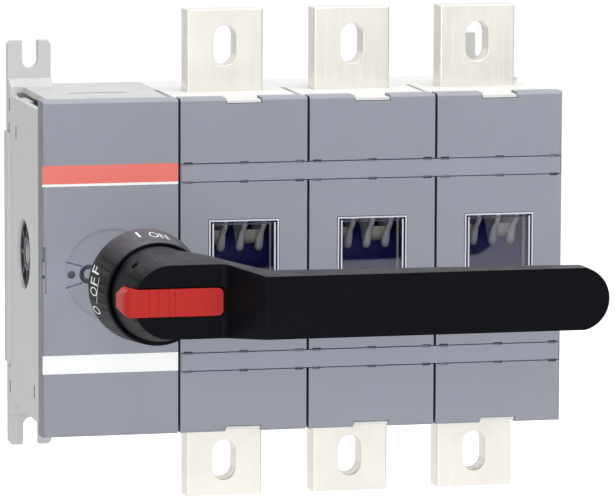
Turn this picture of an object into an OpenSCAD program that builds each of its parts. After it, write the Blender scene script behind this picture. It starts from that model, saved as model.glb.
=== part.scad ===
// Three-pole load-break switch disconnector with side mechanism and front handle.
// Units are millimetres. X runs to the right, Y to the rear, Z up.
// Y = 0 is the rear mounting plane and X = 0 is the middle of the housing row.
// The part is drawn in its OFF position.

/* [Housing row] */
// Width of one pole module
pole_pitch = 80; // [74:0.5:90]
// Width of the mechanism module
mech_w = 84; // [82:0.5:95]
// Height of the housings
body_h = 201; // [198:1:215]
// Depth from the rear plane to the contact axis, where the two shells part
rear_d = 58; // [56:0.5:64]
// Depth from the contact axis to the front of the covers
front_d = 62; // [60:0.5:68]
// Wall thickness of the housings
wall = 4; // [3.2:0.2:4.6]
// Width of the lower shelf along the two outer side edges
shelf_w = 8; // [5:0.5:10]
// Height of the raised rib along the outer sides
side_rib_proud = 1.4; // [0.8:0.1:2]
// Distance of the rib ends from the middle
side_rib_reach = 72; // [60:1:80]
// Drop of that shelf below the housing top
shelf_drop = 5.2; // [2:0.2:7]
// Depth of the barrier slots below the housing top
barrier_deep = 4; // [2:0.2:6]
// Diameter of the round opening in the left side
side_d = 43; // [40:0.5:46]
// Depth of the moulded pockets in the rear face
pocket_deep = 5; // [2:0.2:5.4]
// Height of the contact axis above the middle of the housings
axis_z = 2; // [0:0.5:4]

/* [Front covers] */
// Depth of the front covers
cover_d = 14; // [12:0.5:16]
// Amount by which a cover stands over the housing top and bottom
cover_over = 1.4; // [0.6:0.2:2.4]
// Bevel along the top and bottom front edges of the covers
cover_bevel = 1.5; // [0.8:0.1:2.5]
// Thickness of the cover skin
cover_skin = 3.6; // [2.6:0.2:4.4]
// Gap between two neighbouring covers
cover_gap = 1.4; // [0.8:0.1:2]
// Radius of the outer vertical edges of the cover row
cover_edge_r = 2.5; // [1.5:0.25:4]
// Width of the notches over the terminals
notch_w = 22; // [16:1:26]
// Depth of the notches below the front edge
notch_h = 2; // [1:0.2:3]

/* [Strips and bands] */
// Height of the lower edge of the strip zones from the middle
strip_lo = 52; // [44:0.5:56]
// Height of the strips
strip_h = 11.2; // [8:0.2:14]
// Height of the strips on the pole covers
pole_strip_h = 10.5; // [8:0.1:13]
// Height of the middle between the upper and the lower pole strip
pole_strip_mid = -0.9; // [-2:0.1:2]
// Thickness of the strips
strip_t = 1.2; // [0.8:0.1:1.8]
// Gap round a strip, seen as a dark line
strip_gap = 0.6; // [0.3:0.1:0.9]
// Height of the pale line under the red band
line_h = 1.5; // [1:0.1:2.5]
// Thickness of the bands on the mechanism cover
band_t = 0.5; // [0.3:0.1:0.8]

/* [Windows] */
// Width of a window
win_w = 43.4; // [36:0.2:48]
// Height of a window
win_h = 55.6; // [48:0.2:60]
// Width of the two ridges and of the groove of the window rim
rim_w = 1; // [0.8:0.05:1.3]
// Depth of the groove between the two ridges
rim_groove = 1.3; // [0.6:0.1:1.8]
// Amount by which the ridges stand over the cover face
rim_proud = 0.5; // [0.1:0.1:1]
// Depth of the pane behind the ridges
pane_in = 0.5; // [0.2:0.1:1]
// Thickness of the window rim
win_t = 3; // [2.4:0.2:3.4]
// Thickness of the pane
pane_t = 1.6; // [1:0.1:1.9]
// Clearance round the window in the cover
win_clear = 0.2; // [0.1:0.05:0.4]

/* [Terminals and fixed contacts] */
// Width of a terminal bar
term_w = 48; // [40:1:52]
// Thickness of a terminal bar
term_t = 16; // [12:0.5:17]
// Reach of the terminals above and below the middle
term_reach = 150.7; // [142:0.1:165]
// Height of the terminal slot centres from the middle
slot_z = 128.5; // [124:0.5:132]
// Width of the terminal slots
slot_w = 14.5; // [11:0.5:18]
// Length of the terminal slots
slot_l = 25; // [20:0.5:30]
// Chamfer on the long edges of the bars
term_chamfer = 1; // [0.5:0.1:2]
// Clearance of a bar in its housing opening
term_clear = 0.1; // [0.05:0.05:0.3]
// Distance from the contact axis to the jaw tips
jaw_r = 34; // [32:0.5:36]

/* [Moving contacts] */
// Number of blades in one pole
blade_n = 4; // [2:1:5]
// Spacing of the blades
blade_pitch = 12; // [9:0.5:13]
// Thickness of a blade
blade_t = 3; // [2:0.1:4]
// Width of a blade
blade_w = 14; // [10:0.5:18]
// Tip radius reached by the blades from the contact axis
blade_r = 46; // [44:0.5:48]
// Side clearance of a blade in a jaw
jaw_clear = 0.1; // [0.05:0.05:0.2]
// Radius of the insulating drum
drum_r = 19; // [17:0.5:22]
// Length of a drum
drum_l = 60; // [56:1:66]
// Diameter of the cross shaft
cross_d = 14; // [10:0.5:16]
// Radial clearance of the shafts in their bearings
run_clear = 0.05; // [0.02:0.01:0.1]

/* [Arc plates] */
// Number of arc plates in one stack
plate_n = 5; // [3:1:5]
// Thickness of an arc plate
plate_t = 1.2; // [0.8:0.1:1.6]
// Spacing of the arc plates
plate_pitch = 4; // [3.4:0.1:4.2]
// Width of the plates
plate_w = 54; // [44:1:58]
// Depth of the plates from the chamber wall
plate_d = 33; // [24:1:34]
// Thickness of the two fibre cheeks that carry the plates
cheek_t = 2.2; // [1.6:0.1:3]

/* [Fasteners] */
// Diameter of the tie rods through the pole modules
tie_d = 6; // [4:0.5:7]
// Width across the corners of the tie rod nuts
nut_d = 11.2; // [9:0.2:12]
// Diameter of the foot screws
foot_screw_d = 4.8; // [4:0.2:5]
// Diameter of the foot screw heads
foot_head_d = 9.2; // [8:0.2:10]
// Depth of the foot screws in the housing
foot_screw_l = 8; // [6:0.5:9]
// Distance of the foot screws from the middle
foot_screw_reach = 80; // [76:1:86]
// Thickness of the tie rod nuts
nut_t = 6.2; // [5:0.1:7]
// Length of a tie rod behind its seat, also left free at its far end
tie_end = 8; // [7:0.5:10]
// Diameter of the studs behind the switch ring
stud_d = 4.4; // [3.5:0.1:5]
// Diameter of the stud inserts in the ring floor
insert_d = 7; // [6.6:0.1:8]
// Diameter of the circle of studs
stud_circle = 44; // [42:0.5:46]
// Length by which the studs stand out of the ring
stud_out = 6; // [4:0.5:10]

/* [Drive] */
// Distance of the handle shaft from the left side
shaft_x = 45.7; // [43:0.1:47]
// Height of the handle shaft above the middle
shaft_z = 0.9; // [-1:0.1:3]
// Diameter of the handle shaft
shaft_d = 12; // [10:0.5:13]
// Tooth module of pinion, rack and sector
tooth_m = 2; // [1.9:0.05:2.05]
// Thinning of each tooth for backlash
tooth_slack = 0.24; // [0.16:0.02:0.3]
// Face width of the pinion
pinion_w = 13; // [10:0.5:13.5]
// Face width of the cross shaft gear
gear_w = 11; // [8:0.5:12]
// Thickness of the rack bar behind its side teeth
rack_x = 17; // [14:0.5:18]
// Length of the rack bar above the contact axis
rack_up = 44; // [42:0.5:47]
// Length of the rack bar below the contact axis
rack_down = 68; // [66:0.5:72]
// Wire diameter of the spring
spring_d = 1.8; // [1.2:0.1:2.2]
// Middle diameter of the spring
spring_od = 11; // [9:0.5:12]

/* [Handle] */
// Distance from the cover front to the rear of the switch ring
ring_stand = 80; // [60:1:110]
// Depth of the switch ring
ring_d = 40; // [30:1:46]
// Rear outer radius of the switch ring
ring_r = 33.6; // [33:0.1:38]
// Front outer radius of the switch ring
ring_front_r = 30.3; // [29.8:0.1:32]
// Radius of the handle hub at the ring
hub_r = 28; // [26:0.25:28.25]
// Gap between hub and ring
hub_gap = 0.8; // [0.5:0.1:1.2]
// Radius of the flat front of the hub
plateau_r = 21.6; // [19:0.1:23]
// Distance from the ring rear to the flat front of the hub
plateau_h = 76; // [70:0.5:84]
// Distance from the flat hub front to the front of the grip
grip_rise = 34; // [28:0.5:40]
// Half height of the grip
grip_half = 18.2; // [16:0.1:19]
// Distance from the handle axis to the foot of the neck ramp
neck_x = 32.2; // [30:0.2:38]
// Length of the neck ramp along the handle
neck_l = 16.2; // [12:0.2:20]
// Length of the handle from its axis to the tip
handle_len = 252.4; // [220:0.1:300]
// Thickness of the grip at the neck
grip_t0 = 27; // [22:0.5:30]
// Thickness of the grip at the tip
grip_t1 = 13; // [10:0.5:20]
// Radius of the rounded grip tip
tip_r = 18.7; // [18.5:0.1:24]
// Width of the locking slider
lock_w = 16; // [13:0.1:18.5]
// Gap round the locking slider
lock_gap = 0.6; // [0.3:0.05:0.8]
// Height of the locking slider over the hub front
lock_proud = 2; // [1:0.1:3]
// Travel of the locking slider
lock_travel = 12; // [8:0.5:14]

/* [Mounting feet] */
// Width of a foot rail
foot_w = 27; // [25:0.5:29]
// Thickness of a foot rail
foot_t = 6; // [5:0.25:7]
// Height of the foot rail ends from the middle
foot_reach = 126.5; // [125:0.5:132]
// Height of the U-slot centres from the middle
foot_slot_z = 114.3; // [113:0.1:117]
// Upward shift of the foot rails from the middle
foot_shift = 1.7; // [0:0.1:2]
// Height of the ledge where the housing meets a foot
foot_ledge = 4.6; // [2:0.2:6]
// Width of the U-slots
foot_slot_w = 9.8; // [7:0.2:11]
// Distance between the left and right U-slots
foot_spacing = 290; // [286:1:292]
// Distance of the left U-slots from the left side
foot_inset = 14; // [13:0.25:14.5]

/* [Hidden] */
$fn = 48;
eps = 0.01;

x_left = -(mech_w + 3 * pole_pitch) / 2;
x_seam = x_left + mech_w;
x_right = -x_left;
y_axis = -rear_d;
y_front = -(rear_d + front_d);
y_shell = y_front + cover_d;
cover_h = body_h + 2 * cover_over;
face_h = cover_h - 2 * cover_bevel;
sx = x_left + shaft_x;

// Chamber of a pole, the same in front of and behind the contact axis
chamber_y = front_d - cover_d - wall;
chamber_x = pole_pitch / 2 - wall - 0.6;
chamber_z = jaw_r + 41;

// Teeth
pinion_z = 12;
gear_z = 20;
pitch_p = 3.14159265 * tooth_m;
pinion_r = pinion_z * tooth_m / 2;
gear_r = gear_z * tooth_m / 2;
rack_add = 0.68 * tooth_m;
rack_ded = 1.2 * tooth_m;
turn_deg = 90;
roll_deg = turn_deg * pinion_z / gear_z;
rack_stroke = turn_deg / 360 * pinion_z * pitch_p;
rack_pitch_x = sx - pinion_r;
rack_pitch_y = y_axis - gear_r;
rack_x0 = rack_pitch_x - rack_ded - rack_x;
rack_x1 = rack_pitch_x - rack_ded;
rack_y1 = rack_pitch_y - rack_ded;
guide_t = 2;
rack_y0 = y_shell + wall + guide_t;
pinion_y = rack_y0 + 0.5;
gear_x0 = rack_x0 + 0.5;
rack_top = axis_z + rack_up;
rack_bot = axis_z - rack_down;
mech_wall = wall;
mech_z = body_h / 2 - wall;

// Handle stations along Y
y_ring = y_front - ring_stand;
y_ring_front = y_ring - ring_d;
y_plateau = y_ring - plateau_h;
y_grip = y_plateau - grip_rise;

pole_strip_lo = strip_lo + 0.4;
pole_strip_hi = pole_strip_lo + pole_strip_h;

function pole_x(i) = x_seam + (i - 0.5) * pole_pitch;
function inv_pt(rb, t) = [rb * (cos(t) + t * PI / 180 * sin(t)), rb * (sin(t) - t * PI / 180 * cos(t))];
function rot2(p, a) = [p[0] * cos(a) - p[1] * sin(a), p[0] * sin(a) + p[1] * cos(a)];

module box(x0, x1, y0, y1, z0, z1) {
    translate([x0, y0, z0]) cube([x1 - x0, y1 - y0, z1 - z0]);
}

// Cylinder along X between x0 and x1 on the contact axis
module along_x(x0, x1, r, y = y_axis, z = axis_z) {
    translate([x0, y, z]) rotate([0, 90, 0]) cylinder(r = r, h = x1 - x0);
}

// Cylinder along Y between y0 and y1
module along_y(y0, y1, r, x = sx, z = shaft_z, r2 = -1) {
    translate([x, y1, z]) rotate([90, 0, 0]) cylinder(r1 = r, r2 = r2 < 0 ? r : r2, h = y1 - y0);
}

// Outline drawn in the YZ plane and run along X
module extrude_x(x0, x1) {
    translate([x0, 0, 0]) rotate([90, 0, 90]) linear_extrude(x1 - x0) children();
}

// Outline drawn in the XZ plane and run along Y
module extrude_y(y0, y1) {
    translate([0, y1, 0]) rotate([90, 0, 0]) linear_extrude(y1 - y0) children();
}

module mirror_z() {
    children();
    mirror([0, 0, 1]) children();
}

// Square with both front corners rounded
module corner_cut(r) {
    difference() {
        translate([-1, -1]) square(r + 1);
        translate([r, r]) circle(r);
    }
}

module plan_outline(x0, x1, y0, y1, ra, rb) {
    difference() {
        translate([x0, y0]) square([x1 - x0, y1 - y0]);
        if (ra > 0) translate([x0, y0]) corner_cut(ra);
        if (rb > 0) translate([x1, y0]) mirror([1, 0]) corner_cut(rb);
    }
}

// Slot with round ends, centred, long in the second direction
module slot_outline(w, l) {
    square([w, l - w], center = true);
    for (s = [-1, 1]) translate([0, s * (l - w) / 2]) circle(d = w);
}

module gear_outline(z, m) {
    r = z * m / 2;
    rb = r * cos(20);
    ra = r + 0.8 * m;
    rf = r - 1.0 * m;
    half = 90 / z - tooth_slack / 2 / r * 180 / PI + (tan(20) - 20 * PI / 180) * 180 / PI;
    t_end = sqrt(ra * ra / rb / rb - 1) * 180 / PI;
    steps = 6;
    flank = [for (i = [0 : steps]) rot2(inv_pt(rb, t_end * i / steps), -half)];
    back = [for (i = [steps : -1 : 0]) [flank[i][0], -flank[i][1]]];
    circle(rf);
    for (k = [0 : z - 1]) rotate(k * 360 / z)
        polygon(concat([[rf - 1, -rb * sin(half)]], flank, back, [[rf - 1, rb * sin(half)]]));
}

// Rack teeth pointing along +X from the pitch line at x = 0, spaces at y = k * pitch
module rack_outline(n_lo, n_hi) {
    for (k = [n_lo : n_hi]) translate([0, (k + 0.5) * pitch_p])
        polygon([
            [-rack_ded - 0.5, -pitch_p / 4 + tooth_slack / 2 - (rack_ded + 0.5) * tan(20)],
            [rack_add, -pitch_p / 4 + tooth_slack / 2 + rack_add * tan(20)],
            [rack_add, pitch_p / 4 - tooth_slack / 2 - rack_add * tan(20)],
            [-rack_ded - 0.5, pitch_p / 4 - tooth_slack / 2 + (rack_ded + 0.5) * tan(20)]]);
}

// Cut that lowers the housing top along an outer side
module shelf_cut(side) {
    x0 = side < 0 ? x_left - 1 : x_right - shelf_w;
    mirror_z() box(x0, x0 + shelf_w + 1, y_front - 1, 1, body_h / 2 - shelf_drop, body_h / 2 + 1);
}

// Small snap slits in the left side
module side_slits() {
    for (p = [[11, 89], [10, 74], [33, 74], [10, -71], [11, -87], [92, -78]])
        box(x_left - 1, x_left + 1.2, -p[0] - 1.5, -p[0] + 1.5, p[1] - 4, p[1] + 4);
}

// Barrier slots over a seam between two modules
module barrier_slot(x) {
    mirror_z() box(x - 1.5, x + 1.5, y_axis - 34, y_axis + 11, body_h / 2 - barrier_deep, body_h / 2 + 1);
}

// Raised strip on the outer side near the rear plane
module side_rib(side) {
    x0 = side < 0 ? x_left - side_rib_proud : x_right - 0.6;
    box(x0, x0 + side_rib_proud + 0.6, -14, 0, -side_rib_reach, side_rib_reach);
}

// Tie rods run half way between the chambers and the barrier slots, given as depth and height
tie_z = (axis_z + chamber_z + body_h / 2 - barrier_deep) / 2;
tie_pos = [for (y = [y_axis + 33, y_axis - 28], s = [1, -1]) [y, s * tie_z]];

module tie_bores() {
    for (p = tie_pos) along_x(x_seam - mech_wall - 1, x_right - tie_end, tie_d / 2 + run_clear, p[0], p[1]);
}

module cross_bore() {
    along_x(x_left + 1, x_right - 2, cross_d / 2 + run_clear);
}

module foot_channel() {
    box(x_left - 3, x_left + foot_w, -foot_t, 1, -body_h, body_h);
    box(right_foot_x0, right_foot_x0 + foot_w, -foot_t, 1, -body_h, body_h);
}

right_foot_x0 = x_left + foot_inset + foot_spacing - (foot_w - foot_inset);

// Sloped ledge between the housing top and a foot rail
module foot_ledges(x0, x1) {
    z0 = body_h / 2 - shelf_drop;
    mirror_z() extrude_x(x0, x1) polygon([
        [-foot_t, z0], [-foot_t, body_h / 2 + foot_ledge], [-foot_t - 1.5, body_h / 2 + foot_ledge],
        [-foot_t - 10, body_h / 2], [-foot_t - 10, z0]]);
}

module mech_block(y0, y1) {
    box(x_left, x_seam, y0, y1, -body_h / 2, body_h / 2);
}

module side_opening() {
    along_x(x_left - 2, x_left + mech_wall + 1, side_d / 2);
}

// Openings in the housing top over the mechanism
module mech_top_openings() {
    mirror_z() {
        translate([x_left + 5, -36, body_h / 2 - shelf_drop - 9]) linear_extrude(30) slot_outline(4.6, 32);
        translate([x_left + 46, y_axis - 2, body_h / 2 - wall - 1]) linear_extrude(10) rotate(90) slot_outline(5, 38);
    }
}

module mech_rear_shell() {
    color("Gainsboro") difference() {
        union() {
            difference() {
                mech_block(y_axis, 0);
                shelf_cut(-1);
            }
            side_rib(-1);
            foot_ledges(x_left, x_left + foot_w);
        }
        box(x_left + mech_wall, x_seam - mech_wall, y_axis - 1, -14, -mech_z, mech_z);
        for (z = [-58, 0, 58])
            box(x_left + foot_w + 8, x_seam - 10, -pocket_deep, 1, z - 24, z + 24);
        foot_channel();
        side_slits();
        side_opening();
        mech_top_openings();
        barrier_slot(x_seam);
        tie_bores();
        cross_bore();
        foot_screw_holes();
    }
}

module mech_front_shell() {
    color("Gainsboro") difference() {
        mech_block(y_shell, y_axis);
        box(x_left + mech_wall, x_seam - mech_wall, y_shell + wall, y_axis + 1, -mech_z, mech_z);
        shelf_cut(-1);
        side_slits();
        side_opening();
        mech_top_openings();
        barrier_slot(x_seam);
        tie_bores();
        cross_bore();
        along_y(y_shell - 1, y_shell + wall + 1, bush_r);
        for (p = guide_screws) along_y(y_shell - 1, y_shell + wall + 1, 1.6, x = p[0], z = p[1]);
    }
}

guide_screws = [[rack_x0 + 8.5, 24], [rack_x0 + 8.5, -38]];
bush_r = shaft_d / 2 + 4;

// Front cover blank between two X positions with radii on its outer vertical edges
module cover_blank(x0, x1, ra, rb) {
    intersection() {
        translate([0, 0, -cover_h]) linear_extrude(2 * cover_h) plan_outline(x0, x1, y_front, y_shell, ra, rb);
        extrude_x(x0 - 1, x1 + 1) polygon([
            [y_front, -face_h / 2], [y_front + cover_bevel, -cover_h / 2], [y_shell, -cover_h / 2],
            [y_shell, cover_h / 2], [y_front + cover_bevel, cover_h / 2], [y_front, face_h / 2]]);
    }
}

module cover_pocket(x0, x1) {
    box(x0 + 3, x1 - 3, y_front + cover_skin, y_shell + 1, -body_h / 2 + 5, body_h / 2 - 5);
}

// The dish lies a little to the left of the shaft and below it
dish_r = 27.7;
dish_x = sx - 3.8;
dish_z = shaft_z - 4;

module mech_cover() {
    x1 = x_seam - cover_gap / 2;
    color("SlateGray") difference() {
        cover_blank(x_left, x1, cover_edge_r, 0);
        difference() {
            cover_pocket(x_left, x1);
            along_y(y_front, y_shell + 1, 34);
        }
        // Recesses for the bands
        box(x_left - 1, x1 + 1, y_front - 1, y_front + band_t, strip_lo - line_h, strip_lo + strip_h);
        box(x_left - 1, x1 + 1, y_front - 1, y_front + band_t, -strip_lo - strip_h, -strip_lo);
        // Round dish with its two grooves and screw hole
        along_y(y_front - 1, y_front + 0.8, dish_r, x = dish_x, z = dish_z);
        for (s = [-1, 1]) translate([dish_x, y_front + 0.9, dish_z]) rotate([0, s * 16, 0])
            box(-28.5, -18.3, -2, 0.7, -0.5, 0.5);
        along_y(y_front - 1, y_front + 6, 2.4, x = dish_x - 24, z = dish_z);
        // Shaft opening and the hole beside it
        along_y(y_front - 1, y_shell + 1, shaft_d / 2 + 5);
        difference() {
            along_y(y_front - 1, y_front + 9, 6, x = dish_x - 13.2, z = dish_z);
            along_y(y_front + 2.4, y_front + 10, 3, x = dish_x - 13.2, z = dish_z);
        }
        // Latch at the left edge
        box(x_left - 1, x_left + 2.4, y_front - 1, y_front + 1, -14, 14);
        box(x_left - 1, x_left + 1.6, y_front - 1, y_front + 6, 5, 14);
        box(x_left - 1, x_left + 1.6, y_front - 1, y_front + 4, -5, -3);
    }
}

module marking_band() {
    color("Salmon") box(x_left, x_seam - cover_gap / 2, y_front, y_front + band_t,
        strip_lo, strip_lo + strip_h);
}

module label_strips() {
    color("White") {
        box(x_left, x_seam - cover_gap / 2, y_front, y_front + band_t, strip_lo - line_h, strip_lo);
        box(x_left, x_seam - cover_gap / 2, y_front, y_front + band_t, -strip_lo - strip_h, -strip_lo);
    }
}

module pole_block(i, y0, y1) {
    box(x_seam + (i - 1) * pole_pitch, x_seam + i * pole_pitch, y0, y1, -body_h / 2, body_h / 2);
}

module pole_chamber(i) {
    box(pole_x(i) - chamber_x, pole_x(i) + chamber_x, y_axis - chamber_y, y_axis + chamber_y,
        axis_z - chamber_z, axis_z + chamber_z);
}

module terminal_opening(i) {
    c = term_clear;
    box(pole_x(i) - term_w / 2 - c, pole_x(i) + term_w / 2 + c, y_axis - term_t / 2 - c,
        y_axis + term_t / 2 + c, -body_h, body_h);
}

module pole_cuts(i) {
    pole_chamber(i);
    terminal_opening(i);
    barrier_slot(x_seam + (i - 1) * pole_pitch);
    if (i < 3) barrier_slot(x_seam + i * pole_pitch);
    tie_bores();
    cross_bore();
}

module pole_rear(i) {
    color("Gainsboro") difference() {
        union() {
            difference() {
                pole_block(i, y_axis, 0);
                if (i == 3) shelf_cut(1);
            }
            if (i == 3) side_rib(1);
            if (i == 3) foot_ledges(right_foot_x0, x_right);
        }
        pole_cuts(i);
        for (s = [-1, 1], z = [-52, 52])
            if (i < 3 || s < 0)
                box(pole_x(i) + s * 19 - 12, pole_x(i) + s * 19 + 12, -pocket_deep, 1, z - 34, z + 34);
        foot_channel();
        foot_screw_holes();
    }
}

module pole_front(i) {
    x = pole_x(i);
    color("Gainsboro") {
        difference() {
            pole_block(i, y_shell, y_axis);
            pole_cuts(i);
            if (i == 3) shelf_cut(1);
            box(x - win_w / 2 + 2, x + win_w / 2 - 2, y_shell - 1, y_shell + wall + 1,
                -win_h / 2 + 4, win_h / 2 - 1);
            // Rim line in front of each terminal
            mirror_z() translate([x, y_axis - term_t / 2 - 9, body_h / 2 - 0.8]) linear_extrude(3)
                square([term_w, 1.2], center = true);
        }
        // Tabs that lie in the cover notches
        mirror_z() box(x - notch_w / 2 + 0.3, x + notch_w / 2 - 0.3, y_front + 0.6, y_shell,
            face_h / 2 - notch_h + 0.3, body_h / 2);
    }
}

module pole_cover(i) {
    x0 = x_seam + (i - 1) * pole_pitch + cover_gap / 2;
    x1 = i == 3 ? x_right : x_seam + i * pole_pitch - cover_gap / 2;
    x = pole_x(i);
    color("SlateGray") difference() {
        cover_blank(x0, x1, 0, i == 3 ? cover_edge_r : 0);
        cover_pocket(x0, x1);
        // Window opening
        box(x - win_w / 2 - win_clear, x + win_w / 2 + win_clear, y_front - 1, y_shell + 1,
            -win_h / 2 - win_clear, win_h / 2 + win_clear);
        // Notches over the terminals
        mirror_z() box(x - notch_w / 2, x + notch_w / 2, y_front - 1, y_shell + 1,
            face_h / 2 - notch_h, cover_h);
        // Channels for the marker strips, with ticks beside them
        translate([0, 0, pole_strip_mid]) mirror_z() {
            box(x0 - 1, x_right - 1, y_front - 1, y_front + strip_t + 0.2,
                pole_strip_lo - strip_gap, pole_strip_hi + strip_gap);
            for (dx = [-1, 0, 1], z = [pole_strip_lo - strip_gap - 0.7, pole_strip_hi + strip_gap])
                box(x + dx * 34.5 - 2.5, x + dx * 34.5 + 2.5, y_front - 1, y_front + 1.2, z, z + 0.7);
        }
    }
}

// Square frame outline for the window, inset from its edge
module window_inset(i, d, y0, y1) {
    box(pole_x(i) - win_w / 2 + d, pole_x(i) + win_w / 2 - d, y0, y1, -win_h / 2 + d, win_h / 2 - d);
}

module window(i) {
    y0 = y_front - rim_proud;
    y_pane = y0 + pane_in;
    color("LightSteelBlue", 0.5) difference() {
        union() {
            window_inset(i, 0, y0, y_front + cover_skin + 1.4);
            window_inset(i, -2.4, y_front + cover_skin, y_front + cover_skin + 1.4);
        }
        // Groove between the two ridges
        difference() {
            window_inset(i, rim_w, y0 - 1, y0 + rim_groove);
            window_inset(i, 2 * rim_w, y0 - 2, y0 + win_t);
        }
        // The pane lies a little behind the ridges and is hollow behind
        window_inset(i, 3 * rim_w, y0 - 1, y_pane);
        window_inset(i, 3 * rim_w, y_pane + pane_t, y_front + cover_skin + 3);
    }
}

module marker_strip() {
    difference() {
        box(x_seam + cover_gap, x_right - 1.3, y_front + 0.2, y_front + strip_t + 0.2, pole_strip_lo, pole_strip_hi);
        for (i = [1 : 3], dx = [-1, 0, 1], z = [pole_strip_lo, pole_strip_hi - 0.7])
            box(pole_x(i) + dx * 34.5 - 2.5, pole_x(i) + dx * 34.5 + 2.5, y_front - 1, y_front + 0.9, z, z + 0.7);
    }
}

module marker_strip_top() {
    color("LightSlateGray") translate([0, 0, pole_strip_mid]) marker_strip();
}

module marker_strip_bottom() {
    color("LightSlateGray") translate([0, 0, pole_strip_mid]) mirror([0, 0, 1]) marker_strip();
}

// Terminal bar with its slotted end and forked jaw, drawn upward
module terminal_bar(i, z0) {
    x = pole_x(i);
    c = term_chamfer;
    a = term_w / 2;
    b = term_t / 2;
    color("Ivory") difference() {
        translate([x, y_axis, z0]) linear_extrude(term_reach - z0) polygon([
            [-a + c, -b], [a - c, -b], [a, -b + c], [a, b - c], [a - c, b], [-a + c, b], [-a, b - c], [-a, -b + c]]);
        translate([x, 0, slot_z]) extrude_y(y_axis - term_t, y_axis + term_t) slot_outline(slot_w, slot_l);
        for (k = [0 : blade_n - 1])
            translate([blade_off(k), 0, 0]) box(x - blade_t / 2 - jaw_clear, x + blade_t / 2 + jaw_clear,
                y_axis - term_t, y_axis + term_t, z0 - 1, z0 + blade_r - jaw_r + 2);
        // Lead-in slopes at the jaw tips
        for (s = [0, 1]) translate([0, y_axis, 0]) mirror([0, s, 0])
            extrude_x(x - term_w, x + term_w) polygon([[-b - 1, z0 - 1], [-b + 3, z0 - 1], [-b - 1, z0 + 7]]);
    }
}

function blade_off(k) = (k - (blade_n - 1) / 2) * blade_pitch;

module terminal_top(i) {
    terminal_bar(i, axis_z + jaw_r);
}

module terminal_bottom(i) {
    mirror([0, 0, 1]) terminal_bar(i, -axis_z + jaw_r);
}

// Turned into the OFF position about the contact axis
module off_turn() {
    translate([0, y_axis, axis_z]) rotate([roll_deg, 0, 0]) children();
}

module blade_outline(grow = 0) {
    square([blade_w + 2 * grow, 2 * (blade_r - blade_w / 2)], center = true);
    for (s = [-1, 1]) translate([0, s * (blade_r - blade_w / 2)]) circle(d = blade_w + 2 * grow);
    circle(cross_d / 2 + 7 + grow);
}

module blades(i) {
    color("Silver") off_turn() for (k = [0 : blade_n - 1])
        extrude_x(pole_x(i) + blade_off(k) - blade_t / 2, pole_x(i) + blade_off(k) + blade_t / 2) difference() {
            blade_outline();
            circle(cross_d / 2);
        }
}

module drum(i) {
    x = pole_x(i);
    color("MidnightBlue") off_turn() difference() {
        extrude_x(x - drum_l / 2, x + drum_l / 2) circle(drum_r, $fn = 64);
        for (k = [0 : blade_n - 1])
            extrude_x(x + blade_off(k) - blade_t / 2 - 0.05, x + blade_off(k) + blade_t / 2 + 0.05) blade_outline(0.05);
        extrude_x(x - drum_l, x + drum_l) circle(cross_d / 2);
        // Relief bands on the drum
        for (s = [-1, 1]) extrude_x(x + s * (drum_l / 2 - 3) - 1, x + s * (drum_l / 2 - 3) + 1) difference() {
            circle(drum_r + 1);
            circle(drum_r - 1);
        }
    }
}

// One stack of arc plates, in front of the contact axis and above it
module plate_stack(x) {
    y0 = -chamber_y;
    z0 = blade_r + 5;
    for (s = [-1, 1])
        box(x + s * plate_w / 2 - (s < 0 ? cheek_t : 0), x + s * plate_w / 2 + (s > 0 ? cheek_t : 0),
            y0, y0 + plate_d, z0 - 1, z0 + (plate_n - 1) * plate_pitch + plate_t + 1);
    for (k = [0 : plate_n - 1]) difference() {
        box(x - plate_w / 2, x + plate_w / 2, y0, y0 + plate_d, z0 + k * plate_pitch, z0 + k * plate_pitch + plate_t);
        for (b = [0 : blade_n - 1])
            translate([x + blade_off(b), y0 + plate_d, 0]) linear_extrude(200)
                polygon([[-3, 1], [-1.2, -12], [1.2, -12], [3, 1]]);
    }
}

module arc_plates(i) {
    color("DimGray") translate([0, y_axis, axis_z]) {
        plate_stack(pole_x(i));
        rotate([180, 0, 0]) plate_stack(pole_x(i));
    }
}

module cross_shaft() {
    color("Silver") difference() {
        along_x(x_left + 2.5, x_right - 3, cross_d / 2);
        // Coupling slot in the visible end
        box(x_left, x_left + 7, y_axis - 1.6, y_axis + 1.6, axis_z - 20, axis_z + 20);
    }
}

module cross_gear() {
    color("DarkGray") difference() {
        union() {
            extrude_x(gear_x0, gear_x0 + gear_w) translate([y_axis, axis_z]) rotate(180) gear_outline(gear_z, tooth_m);
            along_x(gear_x0, gear_x0 + gear_w + 6, cross_d / 2 + 5);
        }
        along_x(gear_x0 - 1, gear_x0 + gear_w + 8, cross_d / 2);
        for (a = [0 : 60 : 300])
            extrude_x(gear_x0 - 1, gear_x0 + gear_w + 1) translate([y_axis, axis_z]) rotate(a + 30) translate([14.7, 0]) circle(2);
    }
}

module side_bearing() {
    color("DarkSlateGray") difference() {
        union() {
            along_x(x_left + 2, x_left + mech_wall + 1, side_d / 2 - 0.1);
            along_x(x_left + mech_wall, x_left + mech_wall + 2, side_d / 2 + 3);
        }
        along_x(x_left, x_left + mech_wall + 8, cross_d / 2 + run_clear);
        // Hollow ring with ribs on the outer face
        difference() {
            along_x(x_left, x_left + mech_wall, side_d / 2 - 2.1);
            along_x(x_left, x_left + mech_wall, cross_d / 2 + 3.5);
            for (a = [0 : 45 : 135]) extrude_x(x_left - 1, x_left + mech_wall + 1)
                translate([y_axis, axis_z]) rotate(a) square([side_d + 1, 2], center = true);
        }
    }
}

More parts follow.
